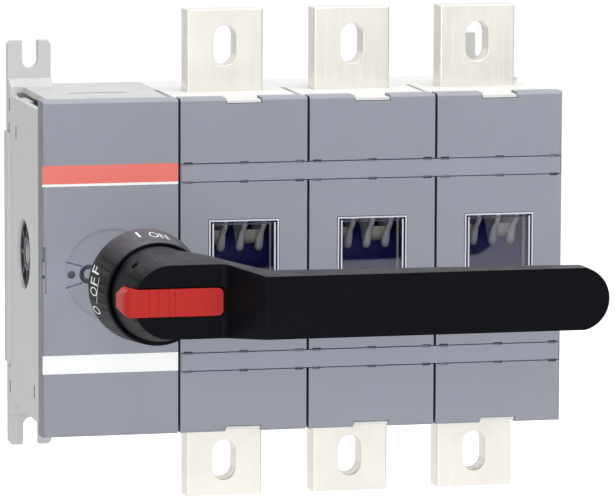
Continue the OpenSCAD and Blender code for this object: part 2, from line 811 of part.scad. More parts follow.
module drive_rack() {
    color("DarkGray") {
        box(rack_x0, rack_x1, rack_y0 + run_clear, rack_y1, rack_bot, rack_top);
        // Teeth for the pinion, facing the handle shaft
        translate([rack_pitch_x, 0, shaft_z]) extrude_y(pinion_y, pinion_y + pinion_w) rack_outline(-4, 0);
        // Teeth for the cross shaft gear, facing the rear
        extrude_x(gear_x0, gear_x0 + gear_w) translate([rack_pitch_y, axis_z]) rack_outline(-4, 0);
        // Spring peg
        translate([rack_x0 + 8.5, (rack_y0 + rack_y1) / 2, rack_top]) cylinder(d = 6, h = 16);
    }
}

module rack_spring() {
    z1 = mech_z;
    turns = 6;
    n = 14;
    x = rack_x0 + 8.5;
    y = (rack_y0 + rack_y1) / 2;
    r = spring_od / 2;
    pitch = (z1 - rack_top - spring_d) / turns;
    color("Silver") {
        // Closed end coils
        for (z = [rack_top + spring_d / 2, z1 - spring_d / 2])
            translate([x, y, z]) rotate_extrude($fn = 32) translate([r, 0]) circle(d = spring_d, $fn = 16);
        for (k = [1 : turns - 1])
            translate([x, y, rack_top + spring_d / 2 + k * pitch]) rotate([0, atan(pitch / (2 * spring_od)), 0])
                rotate_extrude($fn = 32) translate([r, 0]) circle(d = spring_d, $fn = 16);
        // Two thin links that stand for the rise of the coils
        for (s = [-1, 1]) translate([x + s * r, y, rack_top + 0.3]) cylinder(d = 0.8, h = z1 - rack_top - 0.6, $fn = 16);
    }
}

module rack_guide() {
    g = run_clear;
    color("LightGray") difference() {
        union() {
            box(rack_x0 - 3, rack_x1 + 3, y_shell + wall, y_shell + wall + guide_t, axis_z - 56, axis_z + 42);
            for (z = [axis_z + 31, axis_z - 54])
                box(rack_x0 - 3, rack_x1 + 3, y_shell + wall, rack_y1 + 3, z, z + 9);
        }
        for (z = [axis_z + 31, axis_z - 54])
            box(rack_x0 - g, rack_x1 + g, rack_y0, rack_y1 + g, z - 1, z + 10);
        // The plate stays clear of the pinion and shaft
        for (p = guide_screws) along_y(y_shell, y_shell + wall + guide_t + 1, 1.6, x = p[0], z = p[1]);
    }
}

module shaft_bush() {
    color("DarkSlateGray") difference() {
        union() {
            along_y(y_shell - 7, y_shell + wall, bush_r);
            along_y(y_shell + wall, y_shell + wall + 1.8, bush_r + 1);
        }
        along_y(y_shell - 9, y_shell + wall + 3, shaft_d / 2 + run_clear);
    }
}

module shaft_bracket() {
    y1 = pinion_y + pinion_w + 6;
    y0 = y1 - 4;
    x0 = sx - 7.5;
    x1 = sx + 26;
    color("LightGray") difference() {
        union() {
            translate([0, 0, shaft_z]) {
                box(x0, x1, y0, y1, -21, 21);
                for (s = [-1, 1]) box(x0, x1, y_shell + wall, y1, s * 19.5 - 1.5, s * 19.5 + 1.5);
                for (s = [-1, 1]) box(x0, x1, y_shell + wall, y_shell + wall + 2.5, s * 25 - 6, s * 25 + 6);
            }
        }
        along_y(y0 - 1, y1 + 1, shaft_d / 2 + run_clear);
        for (s = [-1, 1]) along_y(y_shell, y_shell + wall + 4, 2, x = sx + 10, z = shaft_z + s * 27);
    }
}

module handle_shaft() {
    color("Silver") difference() {
        union() {
            along_y(y_ring + 2, pinion_y + pinion_w + 7, shaft_d / 2);
            along_y(y_plateau + 18, y_ring + 2, shaft_d / 2);
        }
        // Flats on the outer length
        translate([0, 0, shaft_z]) for (s = [-1, 1])
            box(sx - 10, sx + 10, y_plateau, y_front - 6, s * (shaft_d / 2 + 4.5) - 5, s * (shaft_d / 2 + 4.5) + 5);
    }
}

module drive_pinion() {
    color("DarkGray") translate([sx, 0, shaft_z]) extrude_y(pinion_y, pinion_y + pinion_w) difference() {
        gear_outline(pinion_z, tooth_m);
        circle(shaft_d / 2);
    }
}

module switch_ring() {
    a = ring_r;
    b = ring_front_r;
    h = hub_r + hub_gap;
    color("DarkSlateGray") difference() {
        translate([sx, y_ring, shaft_z]) rotate([90, 0, 0]) rotate_extrude($fn = 96) polygon([
            [spigot_r + run_clear, 0], [a, 0], [a, 2], [b, ring_d], [h, ring_d], [h, ring_floor],
            [spigot_r + run_clear, ring_floor]]);
        at_studs() along_y(y_ring - ring_floor - 1, y_ring + 1, insert_d / 2, x = 0, z = 0);
    }
}

module at_studs() {
    for (t = [45 : 90 : 315]) translate([sx, 0, shaft_z]) rotate([0, t, 0]) translate([stud_circle / 2, 0, 0]) children();
}

spigot_r = 15;
ring_floor = 6;

module ring_screws() {
    // Each stud stands on a thicker insert in the ring floor
    color("Silver") at_studs() {
        along_y(y_ring - ring_floor, y_ring - 0.3, insert_d / 2, x = 0, z = 0);
        along_y(y_ring - 0.3, y_ring + stud_out, stud_d / 2, x = 0, z = 0);
    }
}

// Points of a rounding of size d at corner p1 between p0 and p2
function rounding(p0, p1, p2, d, n = 5) =
    let (a = p1 + (p0 - p1) * d / norm(p0 - p1), b = p1 + (p2 - p1) * d / norm(p2 - p1))
    [for (k = [0 : n]) let (t = k / n) a * (1 - t) * (1 - t) + p1 * 2 * t * (1 - t) + b * t * t];

neck_end = neck_x + neck_l;

// Outline of the handle as seen from the front
module handle_front_outline() {
    xc = handle_len - tip_r;
    xe = xc + sqrt(tip_r * tip_r - grip_half * grip_half);
    upper = [[4, hub_r - 1], [neck_end + 5, grip_half], [xe, grip_half]];
    lower = [for (k = [2 : -1 : 0]) [upper[k][0], -upper[k][1]]];
    polygon(concat([[0, hub_r - 1]], upper, lower, [[0, 1 - hub_r]]));
    intersection() {
        translate([xc, 0]) circle(tip_r, $fn = 96);
        translate([xc, -grip_half]) square([tip_r + 1, 2 * grip_half]);
    }
}

// Plan outline of neck and grip, x from the handle axis and y as depth
module handle_plan_outline() {
    p0 = [0, y_plateau];
    p1 = [neck_x, y_plateau];
    p2 = [neck_end, y_grip];
    p3 = [handle_len, y_grip];
    polygon(concat([[0, y_ring_front - 2], p0], rounding(p0, p1, p2, 3), rounding(p1, p2, p3, 2), [p3,
        [handle_len, y_grip + grip_t1], [neck_end + 11, y_grip + grip_t0], [neck_x + 2.4, y_plateau + 22],
        [hub_r - 3, y_ring_front - 2]]));
}

// Section that gets higher from the grip front to the ring
module handle_neck_section() {
    polygon([[y_grip - 1, -grip_half], [y_grip - 1, grip_half], [y_grip, grip_half], [y_plateau, plateau_r],
        [y_ring_front, hub_r - 1], [y_ring_front, 1 - hub_r], [y_plateau, -plateau_r], [y_grip, -grip_half]]);
}

// Handle about its own axis at X = 0 and Z = 0
module handle_solid() {
    // Hub with its spigot in the ring
    along_y(y_ring - ring_floor, y_ring, spigot_r, x = 0, z = 0);
    along_y(y_ring_front, y_ring - ring_floor, hub_r, x = 0, z = 0);
    along_y(y_plateau, y_ring_front, hub_r, x = 0, z = 0, r2 = plateau_r);
    // Neck and grip
    intersection() {
        translate([0, 0, -40]) linear_extrude(80) handle_plan_outline();
        extrude_y(y_grip - 1, y_ring) handle_front_outline();
        extrude_x(-1, handle_len + 1) handle_neck_section();
    }
}

// The slider lies in the flat hub front, its ends measured from the handle axis
lock_x0 = -plateau_r - 2.2;
lock_x1 = neck_x - 1.8;
lock_seat = 8;

module handle_grip() {
    g = lock_gap;
    color("DimGray") translate([sx, 0, shaft_z]) difference() {
        handle_solid();
        // Channel of the locking slider
        box(-40, lock_x1 + g, y_plateau - 1, y_plateau + lock_seat, -lock_w / 2 - g, lock_w / 2 + g);
        box(-40, lock_x0 + 1 + g, y_plateau - 1, y_plateau + lock_seat + 8 + g, -lock_w / 2 - g, lock_w / 2 + g);
        box(lock_x0 + 2, lock_x1 - 10 + g, y_plateau, y_plateau + lock_seat + 3, -4 - run_clear, 4 + run_clear);
        // Shaft bore and the release hole in the hub side
        along_y(y_plateau + 18, y_ring + 1, shaft_d / 2, x = 0, z = 0);
        rotate([0, -132, 0]) along_x(plateau_r - 3, hub_r + 2, 2.2, y_plateau + 22, 0);
    }
}

module lock_slider() {
    w = lock_w / 2;
    color("Crimson") translate([sx, 0, shaft_z]) difference() {
        union() {
            intersection() {
                translate([0, 0, -w]) linear_extrude(lock_w) polygon([
                    [lock_x1, y_plateau - lock_proud], [lock_x0, y_plateau - lock_proud],
                    [lock_x0 - 3.4, y_plateau + 1.2], [lock_x0 - 5.4, y_plateau + lock_seat + 8],
                    [lock_x0 + 1, y_plateau + lock_seat + 8], [lock_x0 + 1, y_plateau + lock_seat],
                    [lock_x1, y_plateau + lock_seat]]);
                extrude_y(y_plateau - 10, y_plateau + 30) translate([lock_x0 - 6, -w]) difference() {
                    square([lock_x1 - lock_x0 + 6, lock_w]);
                    translate([lock_x1 - lock_x0 + 6, 0]) mirror([1, 0]) corner_cut(2.5);
                    translate([lock_x1 - lock_x0 + 6, lock_w]) mirror([0, 1]) mirror([1, 0]) corner_cut(2.5);
                    polygon([[-1, -1], [4.6, -1], [-1, 5.6]]);
                    translate([0, lock_w]) polygon([[-1, 1], [4.6, 1], [-1, -5.6]]);
                }
            }
            // Guide rib under the slider
            box(lock_x0 + 2 + lock_travel + run_clear, lock_x1 - 10, y_plateau + lock_seat - 1,
                y_plateau + lock_seat + 3 - run_clear, -4, 4);
        }
        // Finger grooves
        for (dx = [-7, -1, 6, 10.5])
            box(dx - 0.9, dx + 0.9, y_plateau - lock_proud - 1, y_plateau - lock_proud + 0.7, -20, 20);
    }
}

module foot_rail(x0, xs) {
    c = 2.5;
    difference() {
        extrude_y(-foot_t, 0) translate([0, foot_shift]) difference() {
            translate([x0, -foot_reach]) square([foot_w, 2 * foot_reach]);
            for (s = [-1, 1]) {
                translate([xs, s * foot_slot_z]) circle(d = foot_slot_w);
                translate([xs - foot_slot_w / 2, s > 0 ? foot_slot_z : -foot_slot_z - 20]) square([foot_slot_w, 20]);
            }
            for (sxx = [0, 1], sz = [-1, 1])
                translate([x0 + sxx * foot_w, sz * foot_reach]) rotate(45) square(c * 1.2, center = true);
        }
        for (z = foot_screw_z) along_y(-foot_t - 1, 1, foot_screw_d / 2 + 0.3, x = xs, z = z);
        for (z = foot_screw_z) along_y(-3, 1, foot_head_d / 2 + 0.6, x = xs, z = z);
    }
}

foot_screw_z = [-foot_screw_reach, foot_screw_reach];
foot_xs = [x_left + foot_inset, x_left + foot_inset + foot_spacing];

module foot_screw_holes() {
    for (x = foot_xs, z = foot_screw_z) along_y(-foot_t - foot_screw_l, 1, foot_screw_d / 2, x = x, z = z);
}

module foot_left() {
    color("Gainsboro") {
        foot_rail(x_left, foot_xs[0]);
        box(x_left - side_rib_proud, x_left + 1, -foot_t, 0, -side_rib_reach, side_rib_reach);
    }
}

module foot_right() {
    color("Gainsboro") foot_rail(right_foot_x0, foot_xs[1]);
}

module foot_screws() {
    color("Silver") for (x = foot_xs, z = foot_screw_z) difference() {
        union() {
            along_y(-foot_t - foot_screw_l, -3, foot_screw_d / 2, x = x, z = z);
            along_y(-3, -0.5, foot_head_d / 2, x = x, z = z);
        }
        translate([x, 0, z]) extrude_y(-2, 1) circle(foot_screw_d / 2 - 0.2, $fn = 6);
    }
}

module tie_rods() {
    x0 = x_seam - mech_wall;
    color("Silver") for (p = tie_pos) {
        along_x(x0 - tie_end, x_right - tie_end, tie_d / 2, p[0], p[1]);
        extrude_x(x0 - nut_t, x0) translate([p[0], p[1]]) difference() {
            circle(nut_d / 2, $fn = 6);
            circle(tie_d / 2);
        }
    }
}

mech_rear_shell();
mech_front_shell();
mech_cover();
marking_band();
label_strips();
shaft_bush();
shaft_bracket();
rack_guide();
side_bearing();
drive_rack();
rack_spring();
handle_shaft();
drive_pinion();
handle_grip();
lock_slider();
switch_ring();
ring_screws();
cross_shaft();
cross_gear();
pole_rear(1);  // pole_rear_1
pole_rear(2);  // pole_rear_2
pole_rear(3);  // pole_rear_3
pole_front(1);  // pole_front_1
pole_front(2);  // pole_front_2
pole_front(3);  // pole_front_3
pole_cover(1);  // pole_cover_1
pole_cover(2);  // pole_cover_2
pole_cover(3);  // pole_cover_3
window(1);  // window_1
window(2);  // window_2
window(3);  // window_3
marker_strip_top();
marker_strip_bottom();
terminal_top(1);  // terminal_top_1
terminal_top(2);  // terminal_top_2
terminal_top(3);  // terminal_top_3
terminal_bottom(1);  // terminal_bottom_1
terminal_bottom(2);  // terminal_bottom_2
terminal_bottom(3);  // terminal_bottom_3
drum(1);  // drum_1
drum(2);  // drum_2
drum(3);  // drum_3
blades(1);  // blades_1
blades(2);  // blades_2
blades(3);  // blades_3
arc_plates(1);  // arc_plates_1
arc_plates(2);  // arc_plates_2
arc_plates(3);  // arc_plates_3
tie_rods();
foot_left();
foot_right();
foot_screws();
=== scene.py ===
# Looks of a three-pole switch disconnector with a side mechanism and a front handle.
# Metres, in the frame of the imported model: X right, Y to the rear, Z up.
import math

import bmesh
import bpy
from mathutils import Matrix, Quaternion, Vector


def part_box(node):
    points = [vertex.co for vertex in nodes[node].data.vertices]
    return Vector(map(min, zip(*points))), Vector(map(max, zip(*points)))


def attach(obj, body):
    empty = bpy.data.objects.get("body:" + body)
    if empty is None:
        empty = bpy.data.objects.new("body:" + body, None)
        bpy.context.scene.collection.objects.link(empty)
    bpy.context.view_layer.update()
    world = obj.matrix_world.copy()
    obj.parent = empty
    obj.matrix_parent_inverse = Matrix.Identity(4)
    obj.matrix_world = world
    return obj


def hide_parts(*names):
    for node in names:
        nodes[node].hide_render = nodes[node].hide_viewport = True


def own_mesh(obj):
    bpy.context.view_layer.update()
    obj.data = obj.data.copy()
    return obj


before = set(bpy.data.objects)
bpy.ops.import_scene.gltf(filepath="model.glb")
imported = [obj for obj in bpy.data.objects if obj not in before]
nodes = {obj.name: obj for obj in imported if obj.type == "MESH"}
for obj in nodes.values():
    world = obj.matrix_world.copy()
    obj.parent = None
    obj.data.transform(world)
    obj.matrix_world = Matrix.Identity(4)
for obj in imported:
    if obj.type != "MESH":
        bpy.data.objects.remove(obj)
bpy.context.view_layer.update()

MM = 0.001

# Places that several pieces share
SHAFT_R = 6 * MM
SHAFT_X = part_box("handle_shaft")[0].x + SHAFT_R
SHAFT_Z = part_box("handle_shaft")[0].z + SHAFT_R
RING_REAR_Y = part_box("switch_ring")[1].y
RING_FRONT_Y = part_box("switch_ring")[0].y
cross_low, cross_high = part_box("cross_shaft")
CROSS_Y = (cross_low.y + cross_high.y) / 2
CROSS_Z = (cross_low.z + cross_high.z) / 2
POLES = ("1", "2", "3")
# The floor lies just below the tip of the handle in its ON place, where it points down
FLOOR_GAP = 2 * MM
FLOOR_Z = SHAFT_Z - (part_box("handle_grip")[1].x - SHAFT_X) - FLOOR_GAP

# Camera at the photograph's place
CAMERA_PLACE = Vector((-0.7648, -3.3134, 0.4412))
CAMERA_YAW = 13.5
CAMERA_PITCH = -7.501
CAMERA_ROLL = 0.224
CAMERA_LENS = 318.87


def make_camera():
    data = bpy.data.cameras.new("camera")
    data.sensor_width = 36.0
    data.lens = CAMERA_LENS
    data.clip_start = 0.1
    data.clip_end = 50.0
    camera = bpy.data.objects.new("camera", data)
    bpy.context.scene.collection.objects.link(camera)
    yaw = math.radians(CAMERA_YAW)
    pitch = math.radians(CAMERA_PITCH)
    forward = Vector((math.sin(yaw) * math.cos(pitch), math.cos(yaw) * math.cos(pitch), math.sin(pitch)))
    roll = Quaternion((0, 0, 1), math.radians(CAMERA_ROLL))
    camera.rotation_mode = "QUATERNION"
    camera.rotation_quaternion = forward.to_track_quat("-Z", "Y") @ roll
    camera.location = CAMERA_PLACE
    bpy.context.scene.camera = camera


def srgb(red, green, blue):
    """Linear colour with alpha from 8-bit display values."""

    def linear(value):
        share = value / 255
        return share / 12.92 if share <= 0.04045 else ((share + 0.055) / 1.055) ** 2.4

    return (linear(red), linear(green), linear(blue), 1.0)


def shade(colour, factor):
    return tuple(min(1.0, c * factor) for c in colour[:3]) + (1.0,)


# Scales of the noise in the materials, per metre
CLOUD = 22.0
SPECK = 900.0
EDGE_WEAR_AND_LIGHT_PATCHES = 160.0
DUST_AND_LIGHT_PATCHES = 70.0
SHEEN = 95.0
GRAIN = 1100.0
HAIRLINES = 420.0
STAINS = 34.0
WAVES = 14.0
PANE_SMEARS = 60.0
PANE_WAVES = 18.0
RIM_GRAIN = 300.0
FLOOR_CLOUDS = 3.0
BRUSHED_UPRIGHT = (900.0, 900.0, 18.0)
BRUSHED_ALONG = (900.0, 60.0, 60.0)

# How far the lighter edges, wear and painted highlight, and the painted shade in narrow gaps reach
EDGE_WEAR_AND_LIGHT_REACH = 0.5 * MM
GAP_SHADE_REACH = 3 * MM

# Dust colour on upward faces. It also paints their light: lighter tops on the dark handle and ring,
# darker tops on the pale mechanism housing
DUST_AND_TOP_LIGHT = srgb(150, 150, 156)

# Dark navy of the spring clips near the cross shaft, and where it ends as distance from that shaft
NEAR_SHAFT_NAVY = srgb(34, 32, 84)
NAVY_FROM_SHAFT = 20 * MM
NAVY_TO_SHAFT = 28 * MM


class Shader:
    """Small helper that builds one node material."""

    def __init__(self, name):
        self.material = bpy.data.materials.new(name)
        self.material.use_nodes = True
        self.tree = self.material.node_tree
        self.surface = self.tree.nodes["Principled BSDF"]
        self.place = self.add("ShaderNodeTexCoord").outputs["Object"]

    def add(self, kind, **values):
        node = self.tree.nodes.new(kind)
        for key, value in values.items():
            setattr(node, key, value)
        return node

    def link(self, a, b):
        self.tree.links.new(a, b)

    def stretched(self, scale):
        mapping = self.add("ShaderNodeMapping")
        mapping.inputs["Scale"].default_value = scale
        self.link(self.place, mapping.inputs["Vector"])
        return mapping.outputs["Vector"]

    def noise(self, scale, detail=2.0, roughness=0.5, vector=None):
        node = self.add("ShaderNodeTexNoise")
        node.inputs["Scale"].default_value = scale
        node.inputs["Detail"].default_value = detail
        node.inputs["Roughness"].default_value = roughness
        self.link(vector or self.place, node.inputs["Vector"])
        return node.outputs["Fac"]

    def spread(self, value, low, high, start=0.3, end=0.7):
        node = self.add("ShaderNodeMapRange")
        node.inputs["From Min"].default_value = start
        node.inputs["From Max"].default_value = end
        node.inputs["To Min"].default_value = low
        node.inputs["To Max"].default_value = high
        self.link(value, node.inputs["Value"])
        return node.outputs["Result"]

    def mix(self, fac, a, b):
        """Colour between a and b. Each is a colour or a socket."""
        node = self.add("ShaderNodeMix", data_type="RGBA")
        self.link(fac, node.inputs["Factor"])
        for value, socket in ((a, node.inputs["A"]), (b, node.inputs["B"])):
            if isinstance(value, tuple):
                socket.default_value = value
            else:
                self.link(value, socket)
        return node.outputs["Result"]

    def edges(self, radius, start=0.02, end=0.35):
        """1 along convex and concave edges within radius, 0 on flats."""
        bevel = self.add("ShaderNodeBevel", samples=4)
        bevel.inputs["Radius"].default_value = radius
        plain = self.add("ShaderNodeNewGeometry").outputs["Normal"]
        dot = self.add("ShaderNodeVectorMath", operation="DOT_PRODUCT")
        self.link(bevel.outputs["Normal"], dot.inputs[0])
        self.link(plain, dot.inputs[1])
        return self.spread(dot.outputs["Value"], 1.0, 0.0, 1 - end, 1 - start)

    def from_line(self, y, z):
        """Distance from a line along X through y and z."""
        shifted = self.add("ShaderNodeVectorMath", operation="ADD")
        shifted.inputs[1].default_value = (0.0, -y, -z)
        self.link(self.place, shifted.inputs[0])
        across = self.add("ShaderNodeVectorMath", operation="MULTIPLY")
        across.inputs[1].default_value = (0.0, 1.0, 1.0)
        self.link(shifted.outputs["Vector"], across.inputs[0])
        length = self.add("ShaderNodeVectorMath", operation="LENGTH")
        self.link(across.outputs["Vector"], length.inputs[0])
        return length.outputs["Value"]

    def times(self, a, b):
        node = self.add("ShaderNodeMath", operation="MULTIPLY")
        self.link(a, node.inputs[0])
        self.link(b, node.inputs[1])
        return node.outputs["Value"]

    def unless(self, mask, value):
        """The value where the mask is 0, nothing where it is 1."""
        node = self.add("ShaderNodeMath", operation="SUBTRACT")
        node.inputs[0].default_value = 1.0
        self.link(mask, node.inputs[1])
        return self.times(node.outputs["Value"], value)

    def crevices(self, reach):
        """1 in narrow gaps and slots, 0 in the open."""
        node = self.add("ShaderNodeAmbientOcclusion", samples=6)
        node.inputs["Distance"].default_value = reach
        return self.spread(node.outputs["AO"], 1.0, 0.0, 0.15, 0.5)

    def bump(self, height, strength, distance, under=None):
        node = self.add("ShaderNodeBump")
        node.inputs["Strength"].default_value = strength
        node.inputs["Distance"].default_value = distance
        self.link(height, node.inputs["Height"])
        if under is not None:
            self.link(under, node.inputs["Normal"])
        return node.outputs["Normal"]


def plastic(name, colour, roughness, grain_strength=0.12, tone=0.03, wear_and_edge_light=0.10, specular=0.45, dust_and_top_light=0.0,
            gap_shade=None, left_side_shade=0.0):
    """Moulded plastic: fine spark-eroded grain, faint flow mottling, lighter edges from wear with a
    painted highlight, and dust on top faces that also paints their light. Narrow gaps get painted shade
    in the gap shade colour, and faces turned to the left get painted shade."""
    s = Shader(name)
    cloud = s.noise(CLOUD, 3.0, 0.55)
    base = s.mix(s.spread(cloud, 0.0, 1.0), shade(colour, 1 - tone), shade(colour, 1 + tone))
    speck = s.noise(SPECK, 1.0, 0.5)
    base = s.mix(s.spread(speck, 0.0, 0.35, 0.62, 0.8), base, shade(colour, 0.88))
    # Lighter edges: wear, together with a painted highlight along them
    scuff_and_edge_light = s.times(s.edges(EDGE_WEAR_AND_LIGHT_REACH), s.spread(s.noise(EDGE_WEAR_AND_LIGHT_PATCHES, 4.0, 0.7), 0.2, 1.0))
    base = s.mix(scuff_and_edge_light, base, shade(colour, 1 + wear_and_edge_light))
    # Painted shade: narrow gaps are darkened to the gap shade colour
    base = s.mix(s.crevices(GAP_SHADE_REACH), base, gap_shade or shade(colour, 0.3))
    facing = s.add("ShaderNodeSeparateXYZ")
    s.link(s.add("ShaderNodeTexCoord").outputs["Normal"], facing.inputs["Vector"])
    # Dust on upward faces, partly painted light on the tops
    if dust_and_top_light:
        level = s.spread(facing.outputs["Z"], 0.0, dust_and_top_light, 0.6, 0.95)
        patchy = s.spread(s.noise(DUST_AND_LIGHT_PATCHES, 4.0, 0.7), 0.5, 1.0)
        base = s.mix(s.times(level, patchy), base, DUST_AND_TOP_LIGHT)
    # Painted shade on faces turned to the left
    if left_side_shade:
        base = s.mix(s.spread(facing.outputs["X"], left_side_shade, 0.0, -0.95, -0.6), base, shade(colour, 0.2))
    s.link(base, s.surface.inputs["Base Color"])
    rough = s.noise(SHEEN, 4.0, 0.65)
    s.link(s.spread(rough, roughness - 0.05, roughness + 0.06), s.surface.inputs["Roughness"])
    s.surface.inputs["Specular IOR Level"].default_value = specular
    fine = s.bump(s.noise(GRAIN, 2.0, 0.6), grain_strength, 0.05 * MM)
    s.link(s.bump(cloud, 0.08, 0.3 * MM, fine), s.surface.inputs["Normal"])
    return s.material


def metal(name, colour, roughness, stretch=None, line_strength=0.12, dull=0.12, metallic=1.0,
          navy_near_shaft=False):
    """Metal with fine lines along the long side of stretch, faint stains and handling marks.
    Where the last flag is set, it turns dark navy near the cross shaft."""
    s = Shader(name)
    place = s.stretched(stretch) if stretch else s.place
    lines = s.noise(1.0 if stretch else HAIRLINES, 5.0, 0.7, place)
    stain = s.noise(STAINS, 4.0, 0.6)
    base = s.mix(s.spread(stain, 0.0, 1.0, 0.35, 0.75), colour, shade(colour, 1 - dull))
    base = s.mix(s.spread(lines, 0.0, 0.5, 0.35, 0.7), base, shade(colour, 1 - dull * 0.8))
    if navy_near_shaft:
        away = s.from_line(CROSS_Y, CROSS_Z)
        base = s.mix(s.spread(away, 0.0, 1.0, NAVY_FROM_SHAFT, NAVY_TO_SHAFT), NEAR_SHAFT_NAVY, base)
    s.link(base, s.surface.inputs["Base Color"])
    s.surface.inputs["Metallic"].default_value = metallic
    s.link(s.spread(lines, roughness - 0.06, roughness + 0.1), s.surface.inputs["Roughness"])
    fine = s.bump(lines, line_strength, 0.06 * MM)
    s.link(s.bump(s.noise(WAVES, 2.0, 0.5), 0.1, 0.5 * MM, fine), s.surface.inputs["Normal"])
    return s.material


# Window moulding with its flange, and the pane in it, in millimetres.
# At its upper edge the pane runs on under the inner ridge.
WINDOW_WIDE = 48.2
WINDOW_TALL = 60.4
PANE_WIDE = 37.3
PANE_TALL = 51.4
PANE_RAISED = 0.9
RIDGE_DEEP = 0.45

# Look of the pane: its lean to the left as a slope, index of refraction and colours
PANE_LEAN_LEFT = 0.094
PANE_IOR = 1.7
PANE_CLEAR = srgb(250, 251, 253)
PANE_MIRROR = (0.9, 0.88, 1.0, 1.0)
RIDGE_PAINTED_LIGHT = srgb(214, 215, 226)
GROOVE_PAINTED_SHADE = srgb(30, 32, 62)


def clear_pane(name, lean_up):
    """Clear window moulding: a see-through pane inside two ridges painted pale as a painted highlight.
    It leans up by a slope.
    """
    s = Shader(name)
    out = s.tree.nodes["Material Output"]
    clear = s.add("ShaderNodeBsdfTransparent")
    clear.inputs["Color"].default_value = PANE_CLEAR
    gloss = s.add("ShaderNodeBsdfGlossy")
    gloss.inputs["Color"].default_value = PANE_MIRROR
    s.link(s.spread(s.noise(PANE_SMEARS, 3.0, 0.6), 0.02, 0.06), gloss.inputs["Roughness"])
    # The moulded pane leans a little, and so does what it mirrors
    lean = s.add("ShaderNodeVectorMath", operation="ADD")
    lean.inputs[1].default_value = (-PANE_LEAN_LEFT, 0.0, lean_up)
    s.link(s.add("ShaderNodeNewGeometry").outputs["Normal"], lean.inputs[0])
    leaning = s.add("ShaderNodeVectorMath", operation="NORMALIZE")
    s.link(lean.outputs["Vector"], leaning.inputs[0])
    waves = s.bump(s.noise(PANE_WAVES, 2.0, 0.5), 0.05, 0.3 * MM, leaning.outputs["Vector"])
    s.link(waves, gloss.inputs["Normal"])
    fresnel = s.add("ShaderNodeFresnel")
    fresnel.inputs["IOR"].default_value = PANE_IOR
    ray = s.add("ShaderNodeLightPath")
    pane = s.add("ShaderNodeMixShader")
    s.link(s.unless(ray.outputs["Is Shadow Ray"], fresnel.outputs["Fac"]), pane.inputs["Fac"])
    s.link(clear.outputs["BSDF"], pane.inputs[1])
    s.link(gloss.outputs["BSDF"], pane.inputs[2])
    # Outside the pane the clear ridges are painted pale as a painted highlight, and the groove and walls
    # are painted dark as painted shade of the inside
    span = s.add("ShaderNodeSeparateXYZ")
    s.link(s.add("ShaderNodeTexCoord").outputs["Generated"], span.inputs["Vector"])
    rim = s.surface
    low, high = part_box("window_1")
    ridge = RIDGE_DEEP * MM / (high.y - low.y)
    deep = s.spread(span.outputs["Y"], 0.0, 1.0, ridge, 1.6 * ridge)
    s.link(s.mix(deep, RIDGE_PAINTED_LIGHT, GROOVE_PAINTED_SHADE), rim.inputs["Base Color"])
    s.link(s.spread(deep, 0.5, 0.02, 0.0, 1.0), rim.inputs["Specular IOR Level"])
    rim.inputs["Roughness"].default_value = 0.25
    s.link(s.bump(s.noise(RIM_GRAIN, 2.0, 0.5), 0.08, 0.05 * MM), rim.inputs["Normal"])
    inside = None
    across = ("X", 0.5, PANE_WIDE / WINDOW_WIDE)
    upright = ("Z", 0.5 + PANE_RAISED / WINDOW_TALL, PANE_TALL / WINDOW_TALL)
    for axis, middle, share in (across, upright):
        near = s.add("ShaderNodeMath", operation="COMPARE")
        near.inputs[1].default_value = middle
        near.inputs[2].default_value = share / 2
        s.link(span.outputs[axis], near.inputs[0])
        inside = near.outputs["Value"] if inside is None else s.times(inside, near.outputs["Value"])
    mix = s.add("ShaderNodeMixShader")
    s.link(inside, mix.inputs["Fac"])
    s.link(rim.outputs["BSDF"], mix.inputs[1])
    s.link(pane.outputs["Shader"], mix.inputs[2])
    s.link(mix.outputs["Shader"], out.inputs["Surface"])
    return s.material


